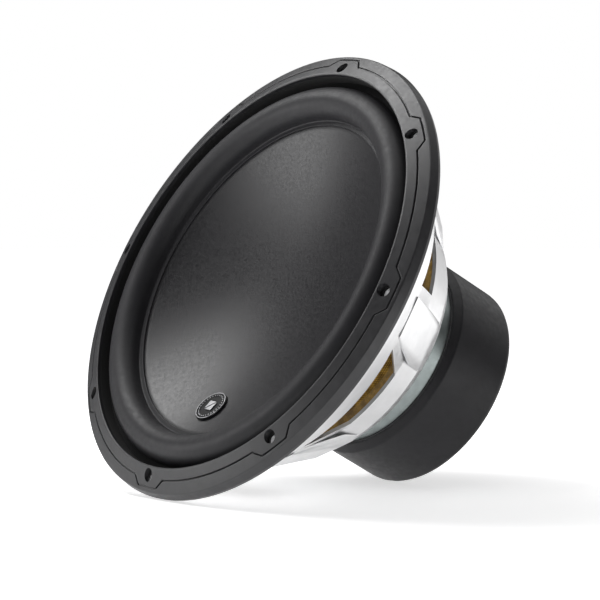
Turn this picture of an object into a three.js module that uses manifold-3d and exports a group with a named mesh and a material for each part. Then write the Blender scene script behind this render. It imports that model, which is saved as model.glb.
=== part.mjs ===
// Twelve-inch car subwoofer driver, millimetres, +Z up.
// The driver stands on the rear of its motor and fires upwards: the origin is the centre of the
// rear face, and +Z is the axis of the cone. Depths are measured down from the front face.

import * as THREE from 'three';
import { ConvexGeometry } from 'three/addons/geometries/ConvexGeometry.js';
import { mergeVertices } from 'three/addons/utils/BufferGeometryUtils.js';
import Module from 'manifold-3d';

const wasm = await Module();
wasm.setup();

// Driving dimensions
const TOTAL_DEPTH = 178;
const ROUND_STEPS = 40;
const GAP = 0.3;

const BOLT_COUNT = 8;
const FIRST_BOLT_ANGLE = 15;
const BOLT_CIRCLE_R = 149;
const BOLT_HOLE_R = 3.2;
const HEAD_OPENING_R = 4.25;

const LIP_R = 143;
const LAND_R = 144.5;
const FACE_SLOPE = 20;
const TRIM_SHOULDER_R = 159.3;
const TRIM_OUTER_R = 160.2;
const TRIM_DEPTH = 14;
const PARTING_R = 150.9;
const EAR_R = 156.4;
const EAR_ROOT_HALF = 16.5;
const EAR_TIP_HALF = 10.5;
const GASKET_THICKNESS = 6;
const SKIRT_THICKNESS = 1.4;

const FLANGE_OUTER_R = 156.6;
const FLANGE_REAR_DEPTH = 16.5;
const WALL_R = 140.5;
const SPOKE_COUNT = 6;
const FIRST_WINDOW_ANGLE = 30;
const WINDOW_TOP_DEPTH = 45;
const WINDOW_MID_DEPTH = 49;
const WINDOW_BOTTOM_DEPTH = 78;
const WINDOW_TOP_HALF = 42.7;
const WINDOW_BOTTOM_HALF = 21.7;
const HOOP_TOP_R = 97;
const HOOP_BOTTOM_R = 89;
const HOOP_BOTTOM_DEPTH = 97;
const SPIDER_SEAT_DEPTH = 82;
const HUB_FRONT_DEPTH = 107.5;

const ROLL_R = 127;
const ROLL_RADIUS = 11;
const ROLL_THICKNESS = 1.6;
const CONE_RIM_R = 112.3;
const CONE_RIM_DEPTH = 15.2;
const DISH_SAG = 25;
const DISH_THICKNESS = 1.4;

const FORMER_INNER_R = 37.7;
const FORMER_OUTER_R = 38.4;
const COIL_OUTER_R = 40.6;
const COIL_HALF_LENGTH = 19;

const PLATE_R = 67;
const PLATE_BORE_R = 41.4;
const PLATE_FRONT_DEPTH = 113;
const PLATE_THICKNESS = 12;
const MAGNET_R = 68;
const MAGNET_BORE_R = 46;
const MAGNET_THICKNESS = 19.5;
const POLE_R = 36.6;
const POLE_TOP_DEPTH = 111;
const VENT_R = 11;
const YOKE_REAR_DEPTH = 175;
const BOOT_R = 73.2;
const BOOT_EDGE_R = 4;
const BOOT_LIP_R = 56;

const TERMINAL_ANGLE = 90;
const TERMINAL_HALF = 20;
const TERMINAL_OUTER_R = 112;
const TERMINAL_TOP_DEPTH = 79;
const TERMINAL_BOTTOM_DEPTH = 98;
const TERMINAL_SCREW_DEPTH = 88;
const TAB_R = 100;
const BUTTON_SPACING = 20;
const BUTTON_AXIS_R = 105;
const WIRE_HOLE_R = 3.05;
const WIRE_HOLE_DEPTH = 84;
const SPRING_TOP_DEPTH = 90;
const CAP_TOP_DEPTH = 103;

const BADGE_R = 12;
const BADGE_CENTRE_R = 90.5;
const BADGE_ANGLE = 150;

const FRAME_SCREW_COUNT = 6;
const FRAME_SCREW_CIRCLE_R = 55.5;

// Finishes
const finish = (color, roughness, metalness) =>
  new THREE.MeshStandardMaterial({ color, roughness, metalness, flatShading: true });
const RUBBER = finish(0x3a393d, 0.75, 0);
const SURROUND_RUBBER = finish(0x4a494d, 0.55, 0);
const CAST_ALUMINIUM = finish(0xd6d6d8, 0.35, 0.9);
const SPIDER_CLOTH = finish(0x6b4a1c, 0.9, 0);
const CONE_PLASTIC = finish(0x4d4c50, 0.45, 0);
const FORMER_METAL = finish(0xb9bbbd, 0.4, 0.9);
const COPPER = finish(0xa8623a, 0.35, 0.9);
const ZINC_STEEL = finish(0x86908f, 0.35, 0.9);
const FERRITE = finish(0x2c2c2e, 0.85, 0.1);
const YOKE_STEEL = finish(0x2a2b2d, 0.5, 0.6);
const BOOT_RUBBER = finish(0x252428, 0.6, 0);
const BLACK_PLASTIC = finish(0x1c1c1e, 0.5, 0);
const RED_PLASTIC = finish(0x9a1f1c, 0.45, 0);
const SCREW_STEEL = finish(0x8d8f92, 0.35, 0.9);
const BRASS = finish(0xc2a04e, 0.35, 0.9);
const SILVER = finish(0xc9cacc, 0.3, 0.9);

// Geometry helpers
const radians = THREE.MathUtils.degToRad;
const height = (depth) => TOTAL_DEPTH - depth;

function signedVolume(geometry) {
  const position = geometry.attributes.position;
  const index = geometry.index.array;
  const [a, b, c] = [new THREE.Vector3(), new THREE.Vector3(), new THREE.Vector3()];
  let sum = 0;
  for (let i = 0; i < index.length; i += 3) {
    a.fromBufferAttribute(position, index[i]);
    b.fromBufferAttribute(position, index[i + 1]);
    c.fromBufferAttribute(position, index[i + 2]);
    sum += a.dot(b.cross(c));
  }
  return sum;
}

// Merges shared vertices, drops degenerate triangles and turns every face outwards.
function closed(geometry) {
  geometry.deleteAttribute('normal');
  geometry.deleteAttribute('uv');
  const merged = mergeVertices(geometry, 1e-4);
  const kept = [];
  const index = merged.index.array;
  for (let i = 0; i < index.length; i += 3) {
    const [a, b, c] = [index[i], index[i + 1], index[i + 2]];
    if (a !== b && b !== c && a !== c) kept.push([a, b, c]);
  }
  merged.setIndex(kept.flat());
  if (signedVolume(merged) < 0) {
    merged.setIndex(kept.flatMap(([a, b, c]) => [a, c, b]));
  }
  return merged;
}

function toSolid(geometry) {
  const { attributes, index } = closed(geometry);
  const vertProperties = new Float32Array(attributes.position.array);
  const triVerts = new Uint32Array(index.array);
  return new wasm.Manifold(new wasm.Mesh({ numProp: 3, vertProperties, triVerts }));
}

function toGeometry(solid) {
  const { vertProperties, triVerts } = solid.getMesh();
  const geometry = new THREE.BufferGeometry();
  geometry.setAttribute('position', new THREE.BufferAttribute(vertProperties, 3));
  geometry.setIndex(new THREE.BufferAttribute(triVerts, 1));
  return geometry;
}

// A body of revolution from [radius, depth] points. Rings close on their first point,
// and solid bodies start and end on the axis.
function revolve(profile, steps = ROUND_STEPS) {
  const points = profile.map(([r, depth]) => new THREE.Vector2(r, height(depth)));
  if (profile[0][0] > 0) points.push(points[0].clone());
  return closed(new THREE.LatheGeometry(points, steps).rotateX(Math.PI / 2));
}

function tube(innerR, outerR, topDepth, bottomDepth, steps = ROUND_STEPS) {
  const profile = [[innerR, topDepth], [outerR, topDepth], [outerR, bottomDepth], [innerR, bottomDepth]];
  return revolve(profile, steps);
}

function rod(r, topDepth, bottomDepth, steps = 16) {
  return revolve([[0, topDepth], [r, topDepth], [r, bottomDepth], [0, bottomDepth]], steps);
}

function turned(geometry, degrees) {
  return geometry.rotateZ(radians(degrees));
}

// Prism along Z from [x, y] points.
function slab(outline, topDepth, bottomDepth) {
  const shape = new THREE.Shape(outline.map(([x, y]) => new THREE.Vector2(x, y)));
  const options = { depth: bottomDepth - topDepth, bevelEnabled: false };
  return new THREE.ExtrudeGeometry(shape, options).translate(0, 0, height(bottomDepth));
}

// Prism across the +X radius: [radius, depth] points, swept from -half to +half along Y.
function bracket(outline, half) {
  const shape = new THREE.Shape(outline.map(([r, depth]) => new THREE.Vector2(r, height(depth))));
  const options = { depth: 2 * half, bevelEnabled: false };
  return new THREE.ExtrudeGeometry(shape, options).rotateX(Math.PI / 2).translate(0, half, 0);
}

function around(count, startDegrees, make) {
  return Array.from({ length: count }, (_, i) => toSolid(turned(make(), startDegrees + (360 / count) * i)));
}

function cut(solid, tools) {
  return tools.reduce((result, tool) => result.subtract(tool), solid);
}

function join(solid, pieces) {
  return pieces.reduce((result, piece) => result.add(piece), solid);
}

const model = new THREE.Group();

function place(name, geometry, material, parent = model) {
  const mesh = new THREE.Mesh(geometry, material);
  mesh.name = name;
  parent.add(mesh);
  return mesh;
}

// Front gasket and trim ring: they part along a line that steps outwards round every bolt hole.
// Their common front face is flat on a narrow land at the lip and falls away outside it.
function faceDepth(r) {
  return (r - LAND_R) * Math.tan(radians(FACE_SLOPE));
}

function ear(clearance, topDepth) {
  const tip = EAR_R + clearance;
  const rootHalf = EAR_ROOT_HALF + clearance;
  const tipHalf = EAR_TIP_HALF + clearance;
  const root = PARTING_R - 2;
  const outline = [[root, -rootHalf], [PARTING_R + clearance, -rootHalf], [tip, -tipHalf],
    [tip, tipHalf], [PARTING_R + clearance, rootHalf], [root, rootHalf]];
  return slab(outline, topDepth, GASKET_THICKNESS + clearance);
}

function boltHoles(r, topDepth, bottomDepth) {
  const hole = () => rod(r, topDepth, bottomDepth, 8).translate(BOLT_CIRCLE_R, 0, 0);
  return around(BOLT_COUNT, FIRST_BOLT_ANGLE, hole);
}

function buildGasket() {
  const lipFootDepth = 11.7;
  const band = revolve([
    [LIP_R, 0], [PARTING_R, 0], [PARTING_R, GASKET_THICKNESS],
    [LIP_R + SKIRT_THICKNESS, GASKET_THICKNESS], [LIP_R + SKIRT_THICKNESS, lipFootDepth],
    [LIP_R, lipFootDepth],
  ]);
  const ears = around(BOLT_COUNT, FIRST_BOLT_ANGLE, () => ear(0, 0));
  const aboveFace = toSolid(revolve([
    [LAND_R, 0], [LAND_R, -1], [TRIM_OUTER_R, -1], [TRIM_OUTER_R, faceDepth(TRIM_OUTER_R)],
  ]));
  const holes = boltHoles(HEAD_OPENING_R, -1, GASKET_THICKNESS + 1);
  return toGeometry(cut(join(toSolid(band), ears), [aboveFace, ...holes]));
}

function buildTrimRing() {
  const innerR = PARTING_R + GAP;
  const skirtR = FLANGE_OUTER_R + GAP;
  const ring = revolve([
    [innerR, faceDepth(innerR)], [TRIM_SHOULDER_R, faceDepth(TRIM_SHOULDER_R)],
    [TRIM_OUTER_R, 11.5], [159.6, TRIM_DEPTH],
    [skirtR, TRIM_DEPTH], [skirtR, GASKET_THICKNESS], [innerR, GASKET_THICKNESS],
  ]);
  return toGeometry(cut(toSolid(ring), around(BOLT_COUNT, FIRST_BOLT_ANGLE, () => ear(GAP, -1))));
}

place('mounting_gasket', buildGasket(), RUBBER);
place('outer_trim_ring', buildTrimRing(), RUBBER);

// Cast basket: flange, six windows between raised spokes, spider hoop and motor seat.
function basketShell() {
  const flangeTop = GASKET_THICKNESS + GAP;
  const seatInnerR = 134.8;
  const flangeInnerR = LIP_R + SKIRT_THICKNESS + GAP;
  const surroundSeatDepth = 13.7;
  return revolve([
    [flangeInnerR, flangeTop], [FLANGE_OUTER_R, flangeTop], [FLANGE_OUTER_R, FLANGE_REAR_DEPTH],
    [WALL_R, FLANGE_REAR_DEPTH], [138.5, 30], [125, 46], [HOOP_TOP_R, WINDOW_BOTTOM_DEPTH],
    [HOOP_BOTTOM_R, HOOP_BOTTOM_DEPTH], [84, 103], [64, PLATE_FRONT_DEPTH - GAP],
    [48, PLATE_FRONT_DEPTH - GAP], [48, HUB_FRONT_DEPTH], [62, HUB_FRONT_DEPTH], [81, 98.5], [85, 94],
    [85, SPIDER_SEAT_DEPTH], [93.2, SPIDER_SEAT_DEPTH], [93.2, WINDOW_BOTTOM_DEPTH + 0.5],
    [121.5, 46], [seatInnerR, 30.5], [seatInnerR, surroundSeatDepth],
    [flangeInnerR, surroundSeatDepth],
  ]);
}

function basketWindow() {
  const outline = [
    [-WINDOW_TOP_HALF, WINDOW_TOP_DEPTH], [0, WINDOW_MID_DEPTH], [WINDOW_TOP_HALF, WINDOW_TOP_DEPTH],
    [WINDOW_BOTTOM_HALF, WINDOW_BOTTOM_DEPTH], [-WINDOW_BOTTOM_HALF, WINDOW_BOTTOM_DEPTH],
  ];
  const shape = new THREE.Shape(outline.map(([y, depth]) => new THREE.Vector2(y, height(depth))));
  const opening = new THREE.ExtrudeGeometry(shape, { depth: 80, bevelEnabled: false });
  return opening.rotateX(Math.PI / 2).rotateZ(Math.PI / 2).translate(80, 0, 0);
}

// The flanks of a spoke are triangles: none at the top, widest where it meets the hoop.
function basketSpoke() {
  const mirrored = (r, depth, half) => [-half, half].map((y) => new THREE.Vector3(r, y, height(depth)));
  return new ConvexGeometry([
    ...mirrored(128, 43, 14), ...mirrored(98.7, 87.4, 11.5), ...mirrored(88.8, 98, 11.5),
    ...mirrored(122.5, 46, 15.6), ...mirrored(94.4, 82.5, 19), ...mirrored(88, 96, 18),
    ...mirrored(86.2, 96, 15),
  ]);
}

function frameScrewHoles(topDepth, bottomDepth) {
  const hole = () => rod(2.8, topDepth, bottomDepth, 8).translate(FRAME_SCREW_CIRCLE_R, 0, 0);
  return around(FRAME_SCREW_COUNT, 0, hole);
}

function buildBasket() {
  const windows = around(SPOKE_COUNT, FIRST_WINDOW_ANGLE, basketWindow);
  const spokes = around(SPOKE_COUNT, 0, basketSpoke);
  const body = join(cut(toSolid(basketShell()), windows), spokes);
  const holes = [
    ...boltHoles(BOLT_HOLE_R, 0, FLANGE_REAR_DEPTH + 1),
    ...frameScrewHoles(100, PLATE_FRONT_DEPTH + 1),
    toSolid(turned(terminalScrewHole(), TERMINAL_ANGLE)),
  ];
  return toGeometry(cut(body, holes));
}

// Suspension: the surround carries the cone rim, and the spider centres the former.
function buildSurround() {
  const arc = (radius, from, to, count) => Array.from({ length: count }, (_, i) => {
    const a = radians(from + ((to - from) * i) / (count - 1));
    return [ROLL_R + radius * Math.cos(a), ROLL_RADIUS - radius * Math.sin(a)];
  });
  const inner = ROLL_RADIUS - ROLL_THICKNESS;
  const footTop = 12;
  const footBottom = 13.4;
  const rimTop = CONE_RIM_DEPTH - GAP - 1.3;
  const rimBottom = CONE_RIM_DEPTH - GAP;
  return revolve([
    [144.2, footTop], ...arc(ROLL_RADIUS, 0, 180, 7), [ROLL_R - ROLL_RADIUS, rimTop],
    [CONE_RIM_R, rimTop], [CONE_RIM_R, rimBottom], [ROLL_R - inner, rimBottom],
    ...arc(inner, 180, 0, 7), [ROLL_R + inner, footBottom], [144.2, footBottom],
  ]);
}

function buildSpider() {
  const thickness = 0.9;
  const waveDepth = 2.6;
  const innerR = 44;
  const outerR = 83.5;
  const folds = 5;
  const neckR = FORMER_OUTER_R + GAP;
  const mid = SPIDER_SEAT_DEPTH - GAP - thickness;
  const wave = Array.from({ length: folds + 1 }, (_, i) => {
    const side = i === 0 || i === folds ? 0 : 1;
    return [innerR + ((outerR - innerR) * i) / folds, mid + side * (i % 2 ? -waveDepth : waveDepth)];
  });
  const top = [[neckR, mid - 4], [neckR + 1.2, mid - 4], [neckR + 1.2, mid], ...wave, [92.8, mid]];
  const bottom = [[92.8, mid + thickness], ...wave.map(([r, d]) => [r, d + thickness]).reverse(),
    [neckR, mid + thickness]];
  return revolve([...top, ...bottom]);
}

place('basket', buildBasket(), CAST_ALUMINIUM);
place('surround', buildSurround(), SURROUND_RUBBER);
place('spider', buildSpider(), SPIDER_CLOTH);

// Moving assembly: two-skin cone, former, winding and badge.
const dishDepth = (r) => CONE_RIM_DEPTH + DISH_SAG * Math.max(0, 1 - (r / CONE_RIM_R) ** 2);

function buildDish() {
  const rings = [0, 30, 60, 90, CONE_RIM_R, 115.6];
  const front = rings.map((r) => [r, dishDepth(r)]);
  const back = rings.map((r) => [r, dishDepth(r) + DISH_THICKNESS]).reverse();
  return revolve([...front, ...back]);
}

function buildSkirt() {
  const topDepth = CONE_RIM_DEPTH + DISH_THICKNESS + GAP;
  const neckR = FORMER_OUTER_R + GAP;
  return revolve([
    [112.6, topDepth], [114.2, topDepth], [102, 29], [neckR + 4, 63.5], [neckR + 1.6, 68],
    [neckR, 68], [neckR, 62.5], [100.6, 28],
  ]);
}

place('cone_dish', buildDish(), CONE_PLASTIC);
place('cone_skirt', buildSkirt(), BLACK_PLASTIC);
const gapMiddle = PLATE_FRONT_DEPTH + PLATE_THICKNESS / 2;
const formerTop = dishDepth(FORMER_INNER_R) + DISH_THICKNESS + GAP;
const formerBottom = gapMiddle + COIL_HALF_LENGTH + 1;
place('voice_coil_former', tube(FORMER_INNER_R, FORMER_OUTER_R, formerTop, formerBottom), FORMER_METAL);
const coilTop = gapMiddle - COIL_HALF_LENGTH;
const coilBottom = gapMiddle + COIL_HALF_LENGTH;
place('voice_coil', tube(FORMER_OUTER_R + GAP, COIL_OUTER_R, coilTop, coilBottom), COPPER);

// The badge lies on the tangent plane of the dish, near its rim.
function buildBadge() {
  const slope = Math.atan((2 * DISH_SAG * BADGE_CENTRE_R) / CONE_RIM_R ** 2);
  const plateBase = 0.7;
  const plateThickness = 0.8;
  const rimThickness = 0.5;
  const badge = new THREE.Group();
  badge.rotation.set(0, 0, radians(BADGE_ANGLE));
  const seat = new THREE.Group();
  seat.position.set(BADGE_CENTRE_R, 0, height(dishDepth(BADGE_CENTRE_R)));
  seat.rotation.set(0, -slope, 0);
  badge.add(seat);
  const flat = (geometry, low) => geometry.rotateX(Math.PI / 2).translate(0, 0, low);
  const plate = closed(new THREE.CylinderGeometry(BADGE_R, BADGE_R, plateThickness, 32));
  place('badge_plate', flat(plate, plateBase + plateThickness / 2), BLACK_PLASTIC, seat);
  const top = plateBase + plateThickness + GAP;
  const bezelProfile = [[10.6, 0], [11.8, 0], [11.8, rimThickness], [10.6, rimThickness], [10.6, 0]];
  const bezel = closed(new THREE.LatheGeometry(bezelProfile.map(([r, y]) => new THREE.Vector2(r, y)), 32));
  place('badge_bezel', flat(bezel, top), SILVER, seat);
  const diamond = closed(new THREE.CylinderGeometry(5.5, 5.5, rimThickness, 4));
  place('badge_emblem', flat(diamond, top + rimThickness / 2), SILVER, seat);
  model.add(badge);
}

buildBadge();

// Motor: top plate, two ferrite rings, T-yoke with a vented pole, and a rubber boot round them.
function buildTopPlate() {
  const rear = PLATE_FRONT_DEPTH + PLATE_THICKNESS;
  const plate = revolve([
    [PLATE_BORE_R, PLATE_FRONT_DEPTH], [PLATE_R - 1, PLATE_FRONT_DEPTH], [PLATE_R, PLATE_FRONT_DEPTH + 1],
    [PLATE_R, rear], [PLATE_BORE_R, rear],
  ]);
  return toGeometry(cut(toSolid(plate), frameScrewHoles(PLATE_FRONT_DEPTH - 1, rear + 1)));
}

function buildYoke(plateFront) {
  return revolve([
    [VENT_R, POLE_TOP_DEPTH], [POLE_R - 1.5, POLE_TOP_DEPTH], [POLE_R, POLE_TOP_DEPTH + 1.5],
    [POLE_R, plateFront], [MAGNET_R - 1, plateFront], [MAGNET_R - 1, YOKE_REAR_DEPTH],
    [VENT_R + 5, YOKE_REAR_DEPTH], [VENT_R, YOKE_REAR_DEPTH - 8],
  ]);
}

function buildBoot() {
  const innerR = MAGNET_R + GAP;
  const frontDepth = PLATE_FRONT_DEPTH + PLATE_THICKNESS + 0.5;
  const edge = [0, 30, 60, 90].map((degrees) => [
    BOOT_R - BOOT_EDGE_R + BOOT_EDGE_R * Math.cos(radians(degrees)),
    TOTAL_DEPTH - BOOT_EDGE_R + BOOT_EDGE_R * Math.sin(radians(degrees)),
  ]);
  return revolve([
    [innerR, frontDepth], [innerR + 0.4, frontDepth], [BOOT_R, frontDepth + 3.5], ...edge,
    [BOOT_LIP_R, TOTAL_DEPTH], [BOOT_LIP_R, YOKE_REAR_DEPTH + GAP], [innerR, YOKE_REAR_DEPTH + GAP],
  ]);
}

const magnetFront = PLATE_FRONT_DEPTH + PLATE_THICKNESS + GAP;
const magnetRear = magnetFront + MAGNET_THICKNESS + GAP;
const magnet = (front) => tube(MAGNET_BORE_R, MAGNET_R, front, front + MAGNET_THICKNESS);
place('top_plate', buildTopPlate(), ZINC_STEEL);
place('front_magnet', magnet(magnetFront), FERRITE);
place('rear_magnet', magnet(magnetRear), FERRITE);
place('t_yoke', buildYoke(magnetRear + MAGNET_THICKNESS + GAP), YOKE_STEEL);
place('motor_boot', buildBoot(), BOOT_RUBBER);
const screenTop = YOKE_REAR_DEPTH - 9.5;
place('vent_screen', rod(VENT_R - GAP, screenTop, screenTop + 0.8, 24), SCREW_STEEL);

// Screws that hold the basket on the top plate.
for (let i = 0; i < FRAME_SCREW_COUNT; i += 1) {
  const headBottom = HUB_FRONT_DEPTH - GAP;
  const screw = revolve([
    [0, headBottom - 3.5], [4.2, headBottom - 3.5], [4.6, headBottom - 3], [4.6, headBottom],
    [2.4, headBottom], [2.4, 122], [0, 122],
  ], 8);
  const mesh = place(`frame_screw_${i + 1}`, screw.translate(FRAME_SCREW_CIRCLE_R, 0, 0), SCREW_STEEL);
  mesh.rotation.z = radians((360 / FRAME_SCREW_COUNT) * i);
}

// Push terminals on the hoop, under one of the windows.
function terminalScrewHole() {
  const hole = new THREE.CylinderGeometry(2.3, 2.3, 44, 12).rotateZ(Math.PI / 2);
  return hole.translate(TERMINAL_OUTER_R - 4, 0, height(TERMINAL_SCREW_DEPTH));
}

const buttonSides = [-1, 1];

function buildTerminalBlock() {
  const blank = bracket([
    [97.9, TERMINAL_TOP_DEPTH], [TERMINAL_OUTER_R, TERMINAL_TOP_DEPTH],
    [TERMINAL_OUTER_R, TERMINAL_BOTTOM_DEPTH], [90.2, TERMINAL_BOTTOM_DEPTH],
  ], TERMINAL_HALF);
  const sideCuts = buttonSides.flatMap((side) => {
    const y = (side * BUTTON_SPACING) / 2;
    const wireHole = new THREE.CylinderGeometry(WIRE_HOLE_R, WIRE_HOLE_R, 12, 12).rotateZ(Math.PI / 2);
    return [
      rod(2.9, TERMINAL_TOP_DEPTH - 1, TERMINAL_BOTTOM_DEPTH + 1, 12).translate(BUTTON_AXIS_R, y, 0),
      rod(4.8, SPRING_TOP_DEPTH, TERMINAL_BOTTOM_DEPTH + 1, 16).translate(BUTTON_AXIS_R, y, 0),
      wireHole.translate(BUTTON_AXIS_R + 6, y, height(WIRE_HOLE_DEPTH)),
      new THREE.BoxGeometry(1.5, 6.6, 12).translate(TAB_R, y, height(TERMINAL_TOP_DEPTH)),
    ];
  });
  return toGeometry(cut(toSolid(blank), [...sideCuts, terminalScrewHole()].map(toSolid)));
}

function buildButton() {
  return revolve([
    [0, 87], [2.5, 87], [2.5, CAP_TOP_DEPTH], [5.4, CAP_TOP_DEPTH], [5.8, CAP_TOP_DEPTH + 0.8],
    [5.8, CAP_TOP_DEPTH + 4.5], [5, CAP_TOP_DEPTH + 5.3], [0, CAP_TOP_DEPTH + 5.3],
  ], 16);
}

class Helix extends THREE.Curve {
  constructor(radius, bottom, top, turns) {
    super();
    Object.assign(this, { radius, bottom, top, turns });
  }

  getPoint(t, target = new THREE.Vector3()) {
    const a = 2 * Math.PI * this.turns * t;
    const z = THREE.MathUtils.lerp(this.bottom, this.top, t);
    return target.set(this.radius * Math.cos(a), this.radius * Math.sin(a), z);
  }
}

function polygonShape(radius, sides) {
  const corner = (i) => radians((360 / sides) * i);
  const corners = Array.from({ length: sides }, (_, i) =>
    new THREE.Vector2(radius * Math.cos(corner(i)), radius * Math.sin(corner(i))));
  return new THREE.Shape(corners);
}

function wire(curve, radius, steps, sides) {
  const options = { steps, bevelEnabled: false, extrudePath: curve };
  return closed(new THREE.ExtrudeGeometry(polygonShape(radius, sides), options));
}

function buildSpring() {
  const wireR = 0.45;
  const low = height(CAP_TOP_DEPTH - GAP) + wireR;
  const high = height(SPRING_TOP_DEPTH + GAP) - wireR;
  return wire(new Helix(3.7, low, high, 4), wireR, 32, 5);
}

function buildTerminals() {
  const group = new THREE.Group();
  group.rotation.z = radians(TERMINAL_ANGLE);
  place('terminal_block', buildTerminalBlock(), BLACK_PLASTIC, group);
  const screw = new THREE.LatheGeometry([
    [0, 86.5], [1.9, 87], [1.9, 112.3], [4, 112.3], [4, 113.5], [2.8, 114.6], [0, 114.6],
  ].map(([r, y]) => new THREE.Vector2(r, y)), 12).rotateZ(-Math.PI / 2);
  screw.translate(0, 0, height(TERMINAL_SCREW_DEPTH));
  place('terminal_screw', closed(screw), SCREW_STEEL, group);
  for (const side of buttonSides) {
    const sign = side > 0 ? 'positive' : 'negative';
    const y = (side * BUTTON_SPACING) / 2;
    const cap = place(`${sign}_button`, buildButton(), side > 0 ? RED_PLASTIC : BLACK_PLASTIC, group);
    cap.position.set(BUTTON_AXIS_R, y, 0);
    const spring = place(`${sign}_spring`, buildSpring(), SCREW_STEEL, group);
    spring.position.set(BUTTON_AXIS_R, y, 0);
    const tab = new THREE.BoxGeometry(0.8, 6, 14).translate(TAB_R, y, height(77.5));
    place(`${sign}_solder_tab`, closed(tab), BRASS, group);
    const route = new THREE.CatmullRomCurve3([
      [98.3, 73], [96, 73.2], [93.5, 75], [91.5, 77.2], [90.6, 79.2],
    ].map(([r, depth]) => new THREE.Vector3(r, y, height(depth))));
    place(`${sign}_lead`, wire(route, 0.9, 10, 8), COPPER, group);
  }
  model.add(group);
}

buildTerminals();

export default model;
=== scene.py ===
import math

import bmesh
import bpy
import numpy as np
from mathutils import Matrix, Vector


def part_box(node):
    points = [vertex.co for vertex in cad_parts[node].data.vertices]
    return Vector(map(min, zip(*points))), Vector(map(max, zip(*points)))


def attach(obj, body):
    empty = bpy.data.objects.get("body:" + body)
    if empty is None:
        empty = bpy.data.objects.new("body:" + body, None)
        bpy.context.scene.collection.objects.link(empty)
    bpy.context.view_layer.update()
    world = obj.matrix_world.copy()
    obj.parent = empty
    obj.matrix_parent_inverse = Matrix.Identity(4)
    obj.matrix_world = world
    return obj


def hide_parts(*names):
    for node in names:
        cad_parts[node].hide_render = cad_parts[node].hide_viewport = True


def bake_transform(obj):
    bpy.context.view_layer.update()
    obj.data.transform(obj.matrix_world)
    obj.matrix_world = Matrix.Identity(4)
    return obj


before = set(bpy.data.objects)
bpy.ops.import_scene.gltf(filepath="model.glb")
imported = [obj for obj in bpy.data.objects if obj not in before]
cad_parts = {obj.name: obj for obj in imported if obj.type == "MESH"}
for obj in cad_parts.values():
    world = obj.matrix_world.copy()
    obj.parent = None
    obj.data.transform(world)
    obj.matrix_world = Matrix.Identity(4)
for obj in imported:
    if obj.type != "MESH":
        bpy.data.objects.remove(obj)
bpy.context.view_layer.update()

# Twelve-inch car subwoofer driver. Radii and depths are in millimetres, and depths are measured
# down from the front face, as on the CAD model. Blender works in metres in the same frame.
MM = 0.001
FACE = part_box("mounting_gasket")[1].z
# The thin gap left between neighbouring parts.
CLEARANCE = 0.3

BOLT_COUNT = 8
FIRST_BOLT_ANGLE = 15
BOLT_CIRCLE_R = 149
LIP_R = 143
LAND_R = 144.5
FACE_SLOPE = math.radians(20)
TRIM_OUTER_R = 160.2
TRIM_SHOULDER_R = 159.3
TRIM_WIDEST_DEPTH = 11.5
TRIM_DEPTH = 14
PARTING_R = 150.9
EAR_R = 156.4
EAR_ROOT_HALF = 16.5
EAR_TIP_HALF = 10.5
GROOVE_HALF = 0.5
GASKET_THICKNESS = 6
GASKET_HOLE_R = 4.25
FLANGE_R = 156.6
FLANGE_HOLE_R = 3.2
SPOKE_COUNT = 6
FIRST_WINDOW_ANGLE = 30
ROLL_R = 127
ROLL_RADIUS = 11
CONE_RIM_R = 112.3
CONE_RIM_DEPTH = 15.2
DISH_SAG = 25
FORMER_INNER_R = 37.7
FORMER_OUTER_R = 38.4
PLATE_R = 67
PLATE_FRONT_DEPTH = 113
PLATE_REAR_DEPTH = 125
MAGNET_R = 68
MAGNET_BORE_R = 46
BOOT_R = 73.2
REAR_DEPTH = 178
VENT_R = 11
SCREW_CIRCLE_R = 55.5
SCREW_HOLE_R = 2.8
TERMINAL_ANGLE = 90
BUTTON_AXIS_R = 105
BUTTON_OFFSET = 10
CAP_TOP_DEPTH = 103
TAB_R = 100
TERMINAL_SCREW_DEPTH = 88
BADGE_CENTRE_R = 90.5
BADGE_ANGLE = 150

# Mesh fineness
ROUND_STEPS = 192
FINE_STEPS = 256
RING_STEPS = 1440
CORNER_STEPS = 4
SHARP_ANGLE = math.radians(38)


# ---------------------------------------------------------------- materials
LOOKS = {}
# A noise or wave texture mostly keeps within this middle part of its range.
TEXTURE_LOW = 0.3
TEXTURE_HIGH = 0.7
# The Wave texture's scale at which its bands are one unit apart.
WAVE_SCALE = 0.314


def node_tree(name):
    material = bpy.data.materials.new(name)
    material.use_nodes = True
    return material, material.node_tree.nodes, material.node_tree.links


def noise(nodes, links, place, size_mm, detail=3.0):
    """Noise whose grains are about size_mm across."""
    texture = nodes.new("ShaderNodeTexNoise")
    texture.inputs["Scale"].default_value = 1 / (size_mm * MM)
    texture.inputs["Detail"].default_value = detail
    links.new(place, texture.inputs["Vector"])
    return texture.outputs["Fac"]


def rings(nodes, links, place, pitch_mm, direction="Z", kind="RINGS"):
    """Turning marks: rings round Z, or bands along it, about pitch_mm apart."""
    wave = nodes.new("ShaderNodeTexWave")
    wave.wave_type = kind
    if kind == "RINGS":
        wave.rings_direction = direction
    else:
        wave.bands_direction = direction
    wave.inputs["Scale"].default_value = WAVE_SCALE / (pitch_mm * MM)
    wave.inputs["Distortion"].default_value = 0.4
    wave.inputs["Detail"].default_value = 2.0
    links.new(place, wave.inputs["Vector"])
    return wave.outputs["Fac"]


def spread(nodes, links, source, low, high):
    """Maps the middle of a texture's range to low..high."""
    ranged = nodes.new("ShaderNodeMapRange")
    ranged.inputs["From Min"].default_value = TEXTURE_LOW
    ranged.inputs["From Max"].default_value = TEXTURE_HIGH
    ranged.inputs["To Min"].default_value = low
    ranged.inputs["To Max"].default_value = high
    links.new(source, ranged.inputs["Value"])
    return ranged.outputs["Result"]


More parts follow.
